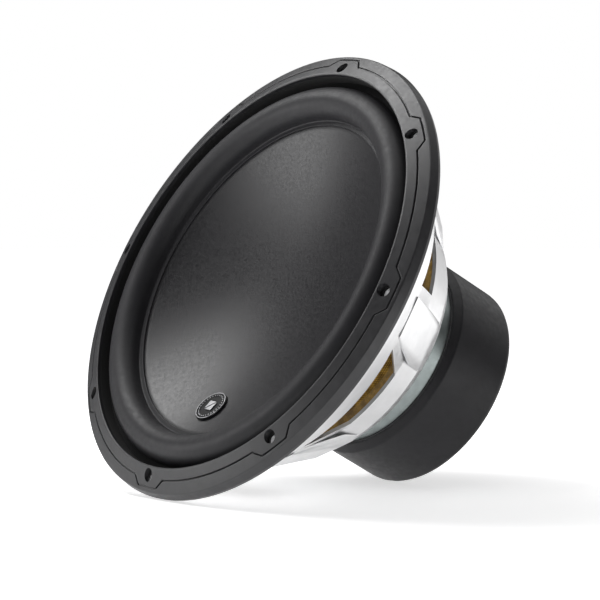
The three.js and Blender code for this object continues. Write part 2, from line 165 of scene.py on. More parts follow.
def tinted(nodes, links, source, dark, light):
    """Runs from the dark colour to the light one over the middle of a texture's range."""
    ramp = nodes.new("ShaderNodeValToRGB")
    stops = ((TEXTURE_LOW, dark), (TEXTURE_HIGH, light))
    for element, (position, colour) in zip(ramp.color_ramp.elements, stops):
        element.position = position
        element.color = (*colour, 1)
    links.new(source, ramp.inputs["Fac"])
    return ramp.outputs["Color"]


def bump(nodes, links, heights, shader):
    """Stacks bumps, each a (height, depth in millimetres) pair, and feeds them to the shader."""
    previous = None
    for source, depth_mm in heights:
        node = nodes.new("ShaderNodeBump")
        node.inputs["Strength"].default_value = 1.0
        node.inputs["Distance"].default_value = depth_mm * MM
        links.new(source, node.inputs["Height"])
        if previous is not None:
            links.new(previous, node.inputs["Normal"])
        previous = node.outputs["Normal"]
    links.new(previous, shader.inputs["Normal"])


def math_node(nodes, links, operation, first, second):
    """A Math node whose inputs are sockets or plain numbers."""
    node = nodes.new("ShaderNodeMath")
    node.operation = operation
    for socket, value in zip(node.inputs, (first, second)):
        if isinstance(value, (int, float)):
            socket.default_value = value
        else:
            links.new(value, socket)
    return node.outputs["Value"]


def radius_and_height(nodes, links, place):
    """Distance from the Z axis and height on it, both in metres."""
    parts = nodes.new("ShaderNodeSeparateXYZ")
    links.new(place, parts.inputs["Vector"])
    flat = nodes.new("ShaderNodeCombineXYZ")
    links.new(parts.outputs["X"], flat.inputs["X"])
    links.new(parts.outputs["Y"], flat.inputs["Y"])
    length = nodes.new("ShaderNodeVectorMath")
    length.operation = "LENGTH"
    links.new(flat.outputs["Vector"], length.inputs[0])
    return length.outputs["Value"], parts.outputs["Z"]


def below_face(nodes, links, place):
    """Depth under the ring's sloping front face, in millimetres, which sets the painted shade in the
    gasket's recesses.
    """
    radius, height = radius_and_height(nodes, links, place)
    outside = math_node(nodes, links, "SUBTRACT", radius, LAND_R * MM)
    fall = math_node(nodes, links, "MULTIPLY", outside, math.tan(FACE_SLOPE))
    drop = math_node(nodes, links, "SUBTRACT", FACE, height)
    depth = math_node(nodes, links, "SUBTRACT", drop, math_node(nodes, links, "MAXIMUM", fall, 0.0))
    return math_node(nodes, links, "DIVIDE", depth, MM)


def outside_roll(nodes, links, place):
    """Radius in millimetres, which sets the painted shade in the crevice between the roll and the lip.
    """
    radius, _ = radius_and_height(nodes, links, place)
    return math_node(nodes, links, "DIVIDE", radius, MM)


def smooth_map(nodes, links, source, start, end, low, high):
    """Goes smoothly from low to high as source goes from start to end."""
    ranged = nodes.new("ShaderNodeMapRange")
    ranged.interpolation_type = "SMOOTHSTEP"
    ranged.inputs["From Min"].default_value = start
    ranged.inputs["From Max"].default_value = end
    ranged.inputs["To Min"].default_value = low
    ranged.inputs["To Max"].default_value = high
    links.new(source, ranged.inputs["Value"])
    return ranged.outputs["Result"]


def shade_crevice(nodes, links, shader, place, measure, shade_starts, shade_deepest):
    """Paints shade into crevices: darkens the colour and dulls the gloss smoothly as measure goes from
    the unshaded value to the fully shaded one.
    """
    # Painted shade: in the deepest part of a crevice the colour falls to this share of itself.
    darkest = 0.06
    amount = smooth_map(nodes, links, measure(nodes, links, place), shade_starts, shade_deepest, 1.0, darkest)
    colour = shader.inputs["Base Color"]
    scaled = nodes.new("ShaderNodeVectorMath")
    scaled.operation = "SCALE"
    links.new(colour.links[0].from_socket, scaled.inputs["Vector"])
    links.new(amount, scaled.inputs["Scale"])
    links.new(scaled.outputs["Vector"], colour)
    rough = shader.inputs["Roughness"]
    dull = math_node(nodes, links, "SUBTRACT", 1.0, amount)
    links.new(math_node(nodes, links, "MAXIMUM", rough.links[0].from_socket, dull), rough)


def surface(name, base, rough, metal=0.0, mottle=0.12, mottle_mm=9.0, grain_mm=0.5,
            grain_depth=0.02, specular=0.5, marks=None, marks_depth=0.01, crevice=None):
    """A moulded, cast or machined surface: blotchy colour, uneven gloss and a fine grain."""
    rough_spread = 0.06
    material, nodes, links = node_tree(name + "_look")
    shader = nodes["Principled BSDF"]
    place = nodes.new("ShaderNodeTexCoord").outputs["Object"]
    dark = [c * (1 - mottle) for c in base]
    light = [min(1.0, c * (1 + mottle)) for c in base]
    blotches = noise(nodes, links, place, mottle_mm)
    links.new(tinted(nodes, links, blotches, dark, light), shader.inputs["Base Color"])
    uneven = noise(nodes, links, place, mottle_mm * 0.4)
    gloss = spread(nodes, links, uneven, rough - rough_spread, rough + rough_spread)
    links.new(gloss, shader.inputs["Roughness"])
    heights = [(noise(nodes, links, place, grain_mm, 2.0), grain_depth)]
    if marks:
        heights.append((rings(nodes, links, place, **marks), marks_depth))
    bump(nodes, links, heights, shader)
    shader.inputs["Metallic"].default_value = metal
    shader.inputs["Specular IOR Level"].default_value = specular
    # Painted shade in crevices, where a crevice measure is given.
    if crevice:
        shade_crevice(nodes, links, shader, place, *crevice)
    LOOKS[name] = material


def woven(name, dark, light, thread_mm):
    """Resin-stiffened cloth: two sets of threads, with stained and paler patches."""
    material, nodes, links = node_tree(name + "_look")
    shader = nodes["Principled BSDF"]
    place = nodes.new("ShaderNodeTexCoord").outputs["Object"]
    warp = rings(nodes, links, place, thread_mm, "X", "BANDS")
    weft = rings(nodes, links, place, thread_mm, "Y", "BANDS")
    crossing = math_node(nodes, links, "MULTIPLY", warp, weft)
    stain = noise(nodes, links, place, size_mm=7.0)
    weave = math_node(nodes, links, "MULTIPLY", crossing, 0.5)
    mixed = math_node(nodes, links, "ADD", weave, spread(nodes, links, stain, 0.0, 0.55))
    links.new(tinted(nodes, links, mixed, dark, light), shader.inputs["Base Color"])
    fuzz = noise(nodes, links, place, size_mm=0.3)
    links.new(spread(nodes, links, fuzz, 0.7, 0.95), shader.inputs["Roughness"])
    bump(nodes, links, [(fuzz, 0.04), (warp, 0.12), (weft, 0.12)], shader)
    shader.inputs["Sheen Weight"].default_value = 0.3
    LOOKS[name] = material


# Painted shade: the gasket's colour darkens and its gloss dulls from 0.9 to 4 mm below its face, in the
# groove, the bolt holes and the lip's inner wall.
surface("gasket_rubber", (0.020, 0.0197, 0.022), 0.40, mottle=0.16, grain_mm=0.35, specular=0.65,
        crevice=(below_face, 0.9, 4.0))
surface("trim_rubber", (0.021, 0.0207, 0.023), 0.40, mottle=0.16, grain_mm=0.35, specular=0.65)
surface("cast_aluminium", (0.78, 0.78, 0.785), 0.36, metal=1.0, mottle=0.05, mottle_mm=14,
        grain_mm=0.9, grain_depth=0.02)
# Painted shade: the surround's colour darkens and its gloss dulls from radius 136.8 to 138.6 mm, over
# the roll's outer flank and its foot in the gap under the lip.
surface("surround_rubber", (0.0185, 0.018, 0.0205), 0.50, mottle=0.1, grain_mm=0.25,
        grain_depth=0.012, specular=0.32, crevice=(outside_roll, 136.8, 138.6))
woven("spider_cloth", (0.22, 0.115, 0.012), (0.85, 0.50, 0.07), thread_mm=0.9)
surface("cone_plastic", (0.0115, 0.011, 0.013), 0.36, mottle=0.1, mottle_mm=5, grain_mm=0.3,
        grain_depth=0.012)
surface("skirt_plastic", (0.020, 0.020, 0.021), 0.5, grain_mm=0.6, marks={"pitch_mm": 1.6},
        marks_depth=0.05)
surface("former_metal", (0.62, 0.62, 0.63), 0.35, metal=1.0, mottle=0.08,
        marks={"pitch_mm": 0.8, "kind": "BANDS"}, marks_depth=0.02)
surface("copper_winding", (0.55, 0.22, 0.10), 0.3, metal=1.0, mottle=0.15,
        marks={"pitch_mm": 0.7, "kind": "BANDS"}, marks_depth=0.25)
surface("badge_black", (0.004, 0.004, 0.0045), 0.4, mottle=0.2, mottle_mm=3, grain_mm=0.2,
        grain_depth=0.004, specular=0.15)
surface("badge_silver", (0.36, 0.36, 0.37), 0.34, metal=1.0, mottle=0.06, mottle_mm=2, grain_mm=0.2,
        grain_depth=0.006)
surface("zinc_steel", (0.33, 0.37, 0.365), 0.34, metal=1.0, mottle=0.14, mottle_mm=8, grain_mm=0.6,
        marks={"pitch_mm": 0.9}, marks_depth=0.02)
surface("ferrite", (0.035, 0.035, 0.037), 0.8, metal=0.1, mottle=0.25, mottle_mm=4, grain_mm=0.8,
        grain_depth=0.08)
surface("black_steel", (0.030, 0.031, 0.033), 0.42, metal=0.6, mottle=0.2, marks={"pitch_mm": 1.1},
        marks_depth=0.03)
surface("boot_rubber", (0.0105, 0.010, 0.012), 0.45, mottle=0.18, grain_mm=0.3, grain_depth=0.015,
        specular=0.35)
surface("screen_steel", (0.35, 0.35, 0.36), 0.35, metal=1.0, mottle_mm=2)
surface("terminal_plastic", (0.016, 0.016, 0.017), 0.4, grain_mm=0.4)
surface("screw_steel", (0.48, 0.48, 0.49), 0.3, metal=1.0, mottle_mm=3, grain_mm=0.3,
        grain_depth=0.01)
surface("red_plastic", (0.38, 0.016, 0.014), 0.38, mottle_mm=3, grain_mm=0.3)
surface("black_cap", (0.015, 0.015, 0.016), 0.38, mottle_mm=3, grain_mm=0.3)
surface("spring_steel", (0.52, 0.52, 0.53), 0.28, metal=1.0, mottle_mm=1.5)
surface("tab_brass", (0.70, 0.50, 0.20), 0.3, metal=1.0, mottle_mm=2)
surface("tinsel_copper", (0.62, 0.30, 0.14), 0.36, metal=1.0, mottle_mm=1.5,
        marks={"pitch_mm": 0.6, "kind": "BANDS"}, marks_depth=0.2)


# ---------------------------------------------------------------- mesh helpers
def z_at(depth):
    """Height in metres of a depth in millimetres."""
    return FACE - depth * MM


def upright(u, v, depth):
    """For a prism that runs up and down: its outline is in x and y."""
    return u * MM, v * MM, z_at(depth)


def circle(radius, sides):
    """Points round a circle, as an outline for a prism."""
    return [(radius * math.cos(a), radius * math.sin(a))
            for a in np.linspace(0, 2 * math.pi, sides + 1)[:-1]]


def rounded(profile, looped):
    """Rounds the corners of (radius, depth, corner radius) points. A point with no corner radius,
    or at the end of an open profile, stays as it is. The count doesn't depend on the sizes."""
    count = len(profile)
    result = []
    for i, (r, depth, *corner) in enumerate(profile):
        here = np.array([r, depth], float)
        if not corner or (not looped and i in (0, count - 1)):
            result.append(here)
            continue
        before = np.array(profile[i - 1][:2], float) - here
        after = np.array(profile[(i + 1) % count][:2], float) - here
        legs = np.linalg.norm(before), np.linalg.norm(after)
        before, after = before / legs[0], after / legs[1]
        half = math.acos(max(-1.0, min(1.0, float(before @ after)))) / 2
        longest = 0.45 * min(legs)
        reach = min(corner[0] / max(math.tan(half), 1e-3), longest)
        first, last = here + before * reach, here + after * reach
        for step in range(CORNER_STEPS + 1):
            s = step / CORNER_STEPS
            result.append((1 - s) ** 2 * first + 2 * s * (1 - s) * here + s * s * last)
    return result


def sweep(name, section, steps):
    """A ring whose closed (radius, depth) section may change with the angle in degrees."""
    rows = []
    for i in range(steps):
        angle = 360 * i / steps
        points = np.array(section(angle), float)
        turn = math.radians(angle)
        rows.append(np.column_stack([
            points[:, 0] * MM * math.cos(turn),
            points[:, 0] * MM * math.sin(turn),
            z_at(points[:, 1]),
        ]))
    width = len(rows[0])
    faces = []
    for i in range(steps):
        here, beyond = i * width, ((i + 1) % steps) * width
        for j in range(width):
            k = (j + 1) % width
            faces.append((here + j, beyond + j, beyond + k, here + k))
    return from_points(name, np.vstack(rows), faces)


def from_points(name, points, faces):
    mesh = bpy.data.meshes.new(name)
    mesh.from_pydata([tuple(p) for p in points], [], faces)
    tidy = bmesh.new()
    tidy.from_mesh(mesh)
    bmesh.ops.remove_doubles(tidy, verts=tidy.verts, dist=1e-6)
    bmesh.ops.recalc_face_normals(tidy, faces=tidy.faces)
    tidy.to_mesh(mesh)
    tidy.free()
    return mesh


def lathe(name, profile, steps=ROUND_STEPS):
    """A body of revolution from (radius, depth, corner radius) points. Radius 0 is the axis."""
    looped = profile[0][0] > 0
    points = rounded(profile, looped)
    return sweep(name, lambda angle: points, steps)


def prism(name, outline, low, high, to_xyz):
    """Extrudes an outline from low to high: to_xyz turns (u, v, w) into metres."""
    count = len(outline)
    points = [to_xyz(u, v, w) for w in (low, high) for u, v in outline]
    faces = [tuple(range(count)), tuple(range(count, 2 * count))]
    faces += [(i, (i + 1) % count, count + (i + 1) % count, count + i) for i in range(count)]
    return from_points(name, points, faces)


def rod(name, radius, top, bottom):
    """A plain upright rod."""
    return lathe(name, [(0, top), (radius, top), (radius, bottom), (0, bottom)], 48)


def moved(mesh, x=0.0, y=0.0, turn=0.0):
    """Moves a mesh by x and y millimetres, then turns it round Z by degrees."""
    place = Matrix.Rotation(math.radians(turn), 4, "Z") @ Matrix.Translation((x * MM, y * MM, 0))
    mesh.transform(place)
    return mesh


def joined(name, meshes):
    """Puts the meshes into one and removes them."""
    whole = bmesh.new()
    for mesh in meshes:
        whole.from_mesh(mesh)
        bpy.data.meshes.remove(mesh)
    result = bpy.data.meshes.new(name)
    whole.to_mesh(result)
    whole.free()
    return result


def around(count, first, make):
    """Copies of a mesh spread evenly round Z, starting at an angle in degrees."""
    return [moved(make(), turn=first + 360 * i / count) for i in range(count)]


def baked(obj):
    """Turns an object and its modifiers into a plain mesh."""
    graph = bpy.context.evaluated_depsgraph_get()
    mesh = bpy.data.meshes.new_from_object(obj.evaluated_get(graph))
    name = obj.data.name
    bpy.data.objects.remove(obj)
    mesh.name = name
    return mesh


def in_scene(name, data):
    obj = bpy.data.objects.new(name, data)
    bpy.context.scene.collection.objects.link(obj)
    return obj


def boolean(mesh, operation, tools, bevel=0.0, overlapping=False):
    """Cuts or joins tools, then rounds the sharp edges. Say so when the tools overlap one another,
    or faces are left inside."""
    obj = in_scene(mesh.name, mesh)
    tool = joined(mesh.name + "_tool", tools)
    tool = in_scene(tool.name, tool)
    step = obj.modifiers.new("boolean", "BOOLEAN")
    step.operation = operation
    step.solver = "EXACT"
    step.use_self = overlapping
    step.object = tool
    if bevel:
        add_bevel(obj, bevel)
    result = baked(obj)
    bpy.data.objects.remove(tool)
    return result


def add_bevel(obj, width, segments=3):
    """Rounds the sharp edges, by a width in millimetres."""
    bevel = obj.modifiers.new("bevel", "BEVEL")
    bevel.width = width * MM
    bevel.segments = segments
    bevel.limit_method = "ANGLE"
    bevel.angle_limit = SHARP_ANGLE
    bevel.use_clamp_overlap = True


def bevelled(mesh, width, segments=3):
    obj = in_scene(mesh.name, mesh)
    add_bevel(obj, width, segments)
    return baked(obj)


def piece(name, mesh, body, nodes, slot, place=None):
    """Shows a mesh in place of its CAD nodes, with the look of their slot. The body is a name, which
    puts the piece on that body, or the arguments of stretch, which bakes the piece in place on no body."""
    mesh.name = name
    mesh.shade_smooth()
    mesh.set_sharp_from_angle(angle=SHARP_ANGLE)
    mesh.materials.clear()
    mesh.materials.append(LOOKS[slot])
    obj = in_scene(name, mesh)
    if place is not None:
        obj.matrix_world = place
    weighted = obj.modifiers.new("weighted_normals", "WEIGHTED_NORMAL")
    weighted.keep_sharp = True
    if isinstance(body, str):
        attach(obj, body)
    else:
        stretch(obj, *body)
    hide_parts(*nodes)


def stretch(obj, moving, start, end, weight=None):
    """Bakes a piece's place into its mesh and leaves it on no body, so it doesn't bend. A suspension
    ring works by its radius, so weight gives each point's share of the movement from its radius; the
    share is worked out but not applied."""
    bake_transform(obj)
    if weight is not None:
        co = np.array([v.co for v in obj.data.vertices], float)
        share = weight(np.hypot(co[:, 0], co[:, 1]) / MM)


def radial(outer, inner):
    """Share of the cone's movement at a radius: none at outer, all at inner, smooth between."""
    def weight(r):
        t = np.clip((outer - r) / (outer - inner), 0, 1)
        return t * t * (3 - 2 * t)
    return weight


# ---------------------------------------------------------------- front gasket and trim ring
def parting(angle, clearance):
    """Radius of the line between gasket and trim ring, which steps out round each bolt hole."""
    spacing = 360 / BOLT_COUNT
    off = abs((angle - FIRST_BOLT_ANGLE + spacing / 2) % spacing - spacing / 2)
    side = math.degrees(clearance * (math.sqrt(2) - 1) / EAR_R)
    tip = math.degrees(math.atan2(EAR_TIP_HALF, EAR_R)) + side
    root = math.degrees(math.atan2(EAR_ROOT_HALF, PARTING_R)) + side
    share = min(1.0, max(0.0, (root - off) / (root - tip)))
    return PARTING_R + clearance + (EAR_R - PARTING_R) * share


def face_depth(r):
    """The ring's face is flat on a narrow land at the lip and falls away outside it."""
    return (r - LAND_R) * math.tan(FACE_SLOPE)


def gasket_section(angle):
    """The gasket carries a ledge under the groove, which closes it from below."""
    outer = parting(angle, -GROOVE_HALF)
    ledge = outer + 1.9 * GROOVE_HALF
    face = face_depth(outer)
    groove_foot = face + 1.5
    lip_outer = LIP_R + 1.4
    lip_foot = 11.7
    return rounded([
        (LIP_R, 0, 0.6), (LAND_R, 0, 0.5), (outer, face, 0.35), (outer, groove_foot, 0.1),
        (ledge, groove_foot, 0.1), (ledge, GASKET_THICKNESS, 0.2),
        (lip_outer, GASKET_THICKNESS, 0.3), (lip_outer, lip_foot, 0.4), (LIP_R, lip_foot, 0.4),
    ], looped=True)


def trim_section(angle):
    """The trim ring lies on the flange and wraps its edge."""
    inner = parting(angle, GROOVE_HALF)
    skirt = FLANGE_R + 0.4
    foot_r = TRIM_OUTER_R - 0.6
    return rounded([
        (inner, face_depth(inner), 0.45), (TRIM_SHOULDER_R, face_depth(TRIM_SHOULDER_R), 1.2),
        (TRIM_OUTER_R, TRIM_WIDEST_DEPTH, 0.8), (foot_r, TRIM_DEPTH, 0.6), (skirt, TRIM_DEPTH, 0.3),
        (skirt, GASKET_THICKNESS, 0.2), (inner, GASKET_THICKNESS, 0.2),
    ], looped=True)


def bolt_cutters(radius, top, bottom):
    return around(BOLT_COUNT, FIRST_BOLT_ANGLE,
                  lambda: moved(rod("bolt_hole", radius, top, bottom), BOLT_CIRCLE_R))


def build_front():
    gasket = sweep("gasket", gasket_section, RING_STEPS)
    above = face_depth(BOLT_CIRCLE_R) - 3
    step = 5.2
    cutters = bolt_cutters(GASKET_HOLE_R, above, step)
    cutters += bolt_cutters(3.3, step - 1, GASKET_THICKNESS + 1)
    gasket = boolean(gasket, "DIFFERENCE", cutters, 0.3, overlapping=True)
    piece("front_gasket", gasket, "frame", ["mounting_gasket"], "gasket_rubber")
    trim = sweep("trim", trim_section, RING_STEPS)
    piece("rubber_trim_ring", trim, "frame", ["outer_trim_ring"], "trim_rubber")


# ---------------------------------------------------------------- cast basket
def basket_shell():
    return lathe("basket_shell", [
        (144.7, 6.3, 0.4), (FLANGE_R, 6.3, 0.4), (FLANGE_R, 16.5, 1.4), (141.5, 16.5, 1.6),
        (138.7, 29, 6.0), (124.6, 46.5, 8.0), (97, 78, 1.5), (89, 97, 2.0), (84, 103, 2.0),
        (64, 112.6, 1.0), (48, 112.7, 0.4), (48, 107.5, 0.6), (62, 107.5, 3.0), (81, 98.5, 3.0),
        (85, 94, 1.5), (85, 82, 0.6), (93.2, 82, 0.6), (93.2, 78.5, 1.0), (121.5, 46, 8.0),
        (134.8, 30.5, 4.0), (134.8, 13.7, 0.5), (144.7, 13.7, 0.5),
    ])


def basket_window():
    """The opening between two spokes: its upper edge bows downwards and its sides lean in."""
    half_top, half_bottom = 42.7, 21.7
    middle_depth, bottom_depth = 49, 78
    bow = 4
    top = [(half_top * s, middle_depth - bow * s ** 2) for s in np.linspace(-1, 1, 11)]
    outline = top + [(half_bottom, bottom_depth), (-half_bottom, bottom_depth)]
    return prism("window", outline, 80, 160, lambda u, v, w: (w * MM, u * MM, z_at(v)))


def basket_spoke():
    """A raised rib with facets: the hull of pairs of corners, each (radius, depth, half width)."""
    corners = [
        (128, 43, 14), (98.7, 87.4, 11.5), (88.8, 98, 11.5), (122.5, 46, 15.6), (94.4, 82.5, 19),
        (88, 96, 18), (86.2, 96, 15),
    ]
    hull = bmesh.new()
    for r, depth, half in corners:
        for y in (-half, half):
            hull.verts.new((r * MM, y * MM, z_at(depth)))
    bmesh.ops.convex_hull(hull, input=hull.verts)
    bmesh.ops.dissolve_limit(hull, angle_limit=math.radians(2), verts=hull.verts, edges=hull.edges)
    mesh = bpy.data.meshes.new("spoke")
    hull.to_mesh(mesh)
    hull.free()
    return bevelled(mesh, 0.9)


def screw_cutters(top, bottom):
    return around(SPOKE_COUNT, 0,
                  lambda: moved(rod("screw_hole", SCREW_HOLE_R, top, bottom), SCREW_CIRCLE_R))


def build_basket():
    windows = around(SPOKE_COUNT, FIRST_WINDOW_ANGLE, basket_window)
    body = boolean(basket_shell(), "DIFFERENCE", windows)
    body = boolean(body, "UNION", around(SPOKE_COUNT, 0, basket_spoke))
    holes = bolt_cutters(FLANGE_HOLE_R, 5, 18) + screw_cutters(100, 114)
    body = boolean(body, "DIFFERENCE", holes)
    piece("basket_casting", body, "frame", ["basket"], "cast_aluminium")


# ---------------------------------------------------------------- suspension
def arc(centre_r, centre_depth, radius, start, stop, count=40):
    """(radius, depth) points on an arc, from one angle in degrees to another."""
    angles = np.radians(np.linspace(start, stop, count))
    return [(centre_r + radius * math.cos(a), centre_depth - radius * math.sin(a)) for a in angles]


def build_surround():
    """A half roll between a foot on the flange and a flat rim on the cone."""
    thickness = 1.6
    inner = ROLL_RADIUS - thickness
    rim_top, rim_bottom = 13.6, 14.9
    foot_top, foot_bottom = 12, 13.4
    foot_r = 144.2
    profile = [
        (foot_r, foot_top, 0.3), (ROLL_R + ROLL_RADIUS + 0.4, foot_top, 0.8),
        *arc(ROLL_R, ROLL_RADIUS, ROLL_RADIUS, 4, 176),
        (ROLL_R - ROLL_RADIUS - 0.3, rim_top, 1.0), (CONE_RIM_R, rim_top, 0.5),
        (CONE_RIM_R, rim_bottom, 0.4), (ROLL_R - inner, rim_bottom, 0.6),
        *arc(ROLL_R, ROLL_RADIUS, inner, 176, 4),
        (ROLL_R + inner, foot_bottom, 0.6), (foot_r, foot_bottom, 0.3),
    ]
    move = ("cone", (0.14, 0, z_at(12)), (0.114, 0, z_at(14)), radial(138, 116))
    piece("surround_roll", lathe("surround", profile, FINE_STEPS), move, ["surround"], "surround_rubber")


def build_spider():
    """A corrugated cloth disc between the hoop and the former. Its folds fade out at both ends."""
    thickness = 0.7
    folds = 6
    swing = 2.4
    inner, outer, seat = 44, 83.5, 92.8
    middle = 81.2
    wave = []
    for share in np.linspace(0, 1, 85):
        fade = max(0.0, math.sin(math.pi * share)) ** 0.35
        fold = math.sin(2 * math.pi * folds * share)
        wave.append((inner + (outer - inner) * share, middle - swing * fade * fold))
    neck = FORMER_OUTER_R + 0.3
    top = [(neck, middle - 4, 0.2), (neck + 1.2, middle - 4, 0.3), (neck + 1.2, middle, 0.6), *wave,
           (seat, middle)]
    bottom = [(seat, middle + thickness)]
    bottom += [(r, depth + thickness) for r, depth in reversed(wave)]
    bottom += [(neck, middle + thickness, 0.2)]
    move = ("cone", (0.085, 0, z_at(82)), (0.04, 0, z_at(82)), radial(84.5, 42))
    piece("spider_disc", lathe("spider", top + bottom), move, ["spider"], "spider_cloth")


# ---------------------------------------------------------------- moving assembly
def dish_depth(r):
    return CONE_RIM_DEPTH + DISH_SAG * max(0.0, 1 - (r / CONE_RIM_R) ** 2)


def build_cone():
    """The dish and the skirt behind it, which carries the former."""
    thickness = 1.4
    rim = 115.4
    radii = list(np.linspace(0, CONE_RIM_R, 48))
    front = [(r, dish_depth(r)) for r in radii]
    back = [(r, dish_depth(r) + thickness) for r in reversed(radii)]
    edge = [(rim, CONE_RIM_DEPTH, 0.3), (rim, CONE_RIM_DEPTH + thickness, 0.3)]
    dish = lathe("dish", front + edge + back, FINE_STEPS)
    piece("dish", dish, "cone", ["cone_dish"], "cone_plastic")
    top = CONE_RIM_DEPTH + thickness + CLEARANCE
    neck = FORMER_OUTER_R + CLEARANCE
    skirt = lathe("skirt", [
        (112.6, top), (114.2, top, 0.3), (102, 29, 2), (neck + 4, 63.5, 2), (neck + 1.6, 68, 0.5),
        (neck, 68, 0.3), (neck, 62.5, 1), (100.6, 28, 2),
    ])
    piece("cone_body", skirt, "cone", ["cone_skirt"], "skirt_plastic")
    build_coil(dish_depth(FORMER_INNER_R) + thickness + CLEARANCE)


def build_coil(top):
    """The former, from the given depth down, and the winding on it, centred in the magnet's gap."""
    gap_middle = (PLATE_FRONT_DEPTH + PLATE_REAR_DEPTH) / 2
    coil_half = 19
    first, last = gap_middle - coil_half, gap_middle + coil_half
    former = lathe("former", [
        (FORMER_INNER_R, top, 0.1), (FORMER_OUTER_R, top, 0.1), (FORMER_OUTER_R, last + 1, 0.1),
        (FORMER_INNER_R, last + 1, 0.1),
    ])
    piece("coil_former", former, "cone", ["voice_coil_former"], "former_metal")
    inner = FORMER_OUTER_R + CLEARANCE
    crest, valley = 40.6, 40.4
    turns = 27
    pitch = (last - first) / (2 * turns)
    ridges = [(valley if i % 2 else crest, first + pitch * (i + 0.5)) for i in range(2 * turns)]
    winding = [(inner, first), (valley, first, 0.2), *ridges, (valley, last, 0.2), (inner, last)]
    piece("coil_winding", lathe("winding", winding), "cone", ["voice_coil"], "copper_winding")


def build_badge():
    """A round badge on the dish near its rim, with a split diamond inside a ring of ticks."""
    slope = math.atan(2 * DISH_SAG * BADGE_CENTRE_R / CONE_RIM_R ** 2)
    seat = Matrix.Rotation(math.radians(BADGE_ANGLE), 4, "Z")
    seat @= Matrix.Translation((BADGE_CENTRE_R * MM, 0, z_at(dish_depth(BADGE_CENTRE_R))))
    seat @= Matrix.Rotation(-slope, 4, "Y")
    seat @= Matrix.Translation((0, 0, -FACE))
    steps = 96
    back, face = -0.7, -1.5
    plate = lathe("plate", [(0, face), (12, face, 0.3), (12, back, 0.1), (0, back)], steps)
    piece("badge_disc", plate, "cone", ["badge_plate"], "badge_black", seat)
    top, low = -2.3, -1.8
    bezel = lathe("bezel", [(10.9, low), (10.9, top, 0.2), (11.5, top, 0.2), (11.5, low)], steps)
    piece("badge_ring", bezel, "cone", ["badge_bezel"], "badge_silver", seat)
    half, gap, tick = 5.2, 0.5, 0.4
    wing = [(gap, -half + gap), (half, 0), (gap, half - gap)]
    square = [(-tick, -tick), (tick, -tick), (tick, tick), (-tick, tick)]
    shapes = around(2, 45, lambda: prism("wing", wing, low, top, upright))
    shapes += around(28, 0, lambda: moved(prism("tick", square, low, top, upright), 9.3))
    emblem = bevelled(joined("emblem", shapes), 0.08, 2)
    piece("badge_motif", emblem, "cone", ["badge_emblem"], "badge_silver", seat)


# ---------------------------------------------------------------- motor
def build_motor():
    """Top plate, two magnets, the yoke with its pole, and the boot round them."""
    bore = 41.4
    plate = lathe("plate", [
        (bore, PLATE_FRONT_DEPTH, 0.6), (PLATE_R, PLATE_FRONT_DEPTH, 1.2),
        (PLATE_R, PLATE_REAR_DEPTH, 0.8), (bore, PLATE_REAR_DEPTH, 0.4),
    ], FINE_STEPS)
    holes = screw_cutters(PLATE_FRONT_DEPTH - 1, PLATE_REAR_DEPTH + 1)
    plate = boolean(plate, "DIFFERENCE", holes)
    piece("front_plate", plate, "frame", ["top_plate"], "zinc_steel")
    for name, front in (("front_magnet", 125.3), ("rear_magnet", 145.1)):
        rear = front + 19.5
        ring = lathe(name, [
            (MAGNET_BORE_R, front, 0.8), (MAGNET_R, front, 0.8), (MAGNET_R, rear, 0.8),
            (MAGNET_BORE_R, rear, 0.8),
        ])
        piece(name + "_ring", ring, "frame", [name], "ferrite")
    pole_r = 36.6
    back_r = MAGNET_R - 1
    pole_top, back_top, back_foot = 111, 164.9, 175
    yoke = lathe("yoke", [
        (VENT_R, pole_top, 1.5), (pole_r, pole_top, 1.5), (pole_r, back_top, 2.0),
        (back_r, back_top, 0.6), (back_r, back_foot, 0.6), (VENT_R + 5, back_foot, 1.0),
        (VENT_R, back_foot - 8, 3.0),
    ])
    piece("pole_and_back_plate", yoke, "frame", ["t_yoke"], "black_steel")
    inner = MAGNET_R + CLEARANCE
    top, recess, opening_r = 125.5, 175.3, 56
    boot = lathe("boot", [
        (inner, top, 0.4), (68.9, top, 0.5), (BOOT_R, 129.4, 2.2), (BOOT_R, REAR_DEPTH, 4.0),
        (opening_r, REAR_DEPTH, 0.8), (opening_r, recess, 0.3), (inner, recess, 0.3),
    ], FINE_STEPS)
    piece("magnet_boot", boot, "frame", ["motor_boot"], "boot_rubber")
    build_screen()


def build_screen():
    """Crossed wires in the vent, held by a thin ring."""
    top, bottom = 165.5, 166.3
    outer = VENT_R - CLEARANCE
    inner = outer - 1
    ring = lathe("ring", [
        (inner, top, 0.2), (outer, top, 0.2), (outer, bottom, 0.2), (inner, bottom, 0.2),
    ], 96)
    parts = [ring]
    wire = circle(0.24, 8)
    pitch = 1.5
    reach = VENT_R - 1
    count = int(reach / pitch)
    for turn, depth in ((0, 165.78), (90, 166.02)):
        for i in range(-count, count + 1):
            half = math.sqrt(reach ** 2 - (i * pitch) ** 2)
            strand = prism("wire", wire, -half, half,
                           lambda u, v, w: (w * MM, u * MM, z_at(depth + v)))
            parts.append(moved(moved(strand, 0, i * pitch), turn=turn))
    piece("vent_mesh", joined("screen", parts), "frame", ["vent_screen"], "screen_steel")


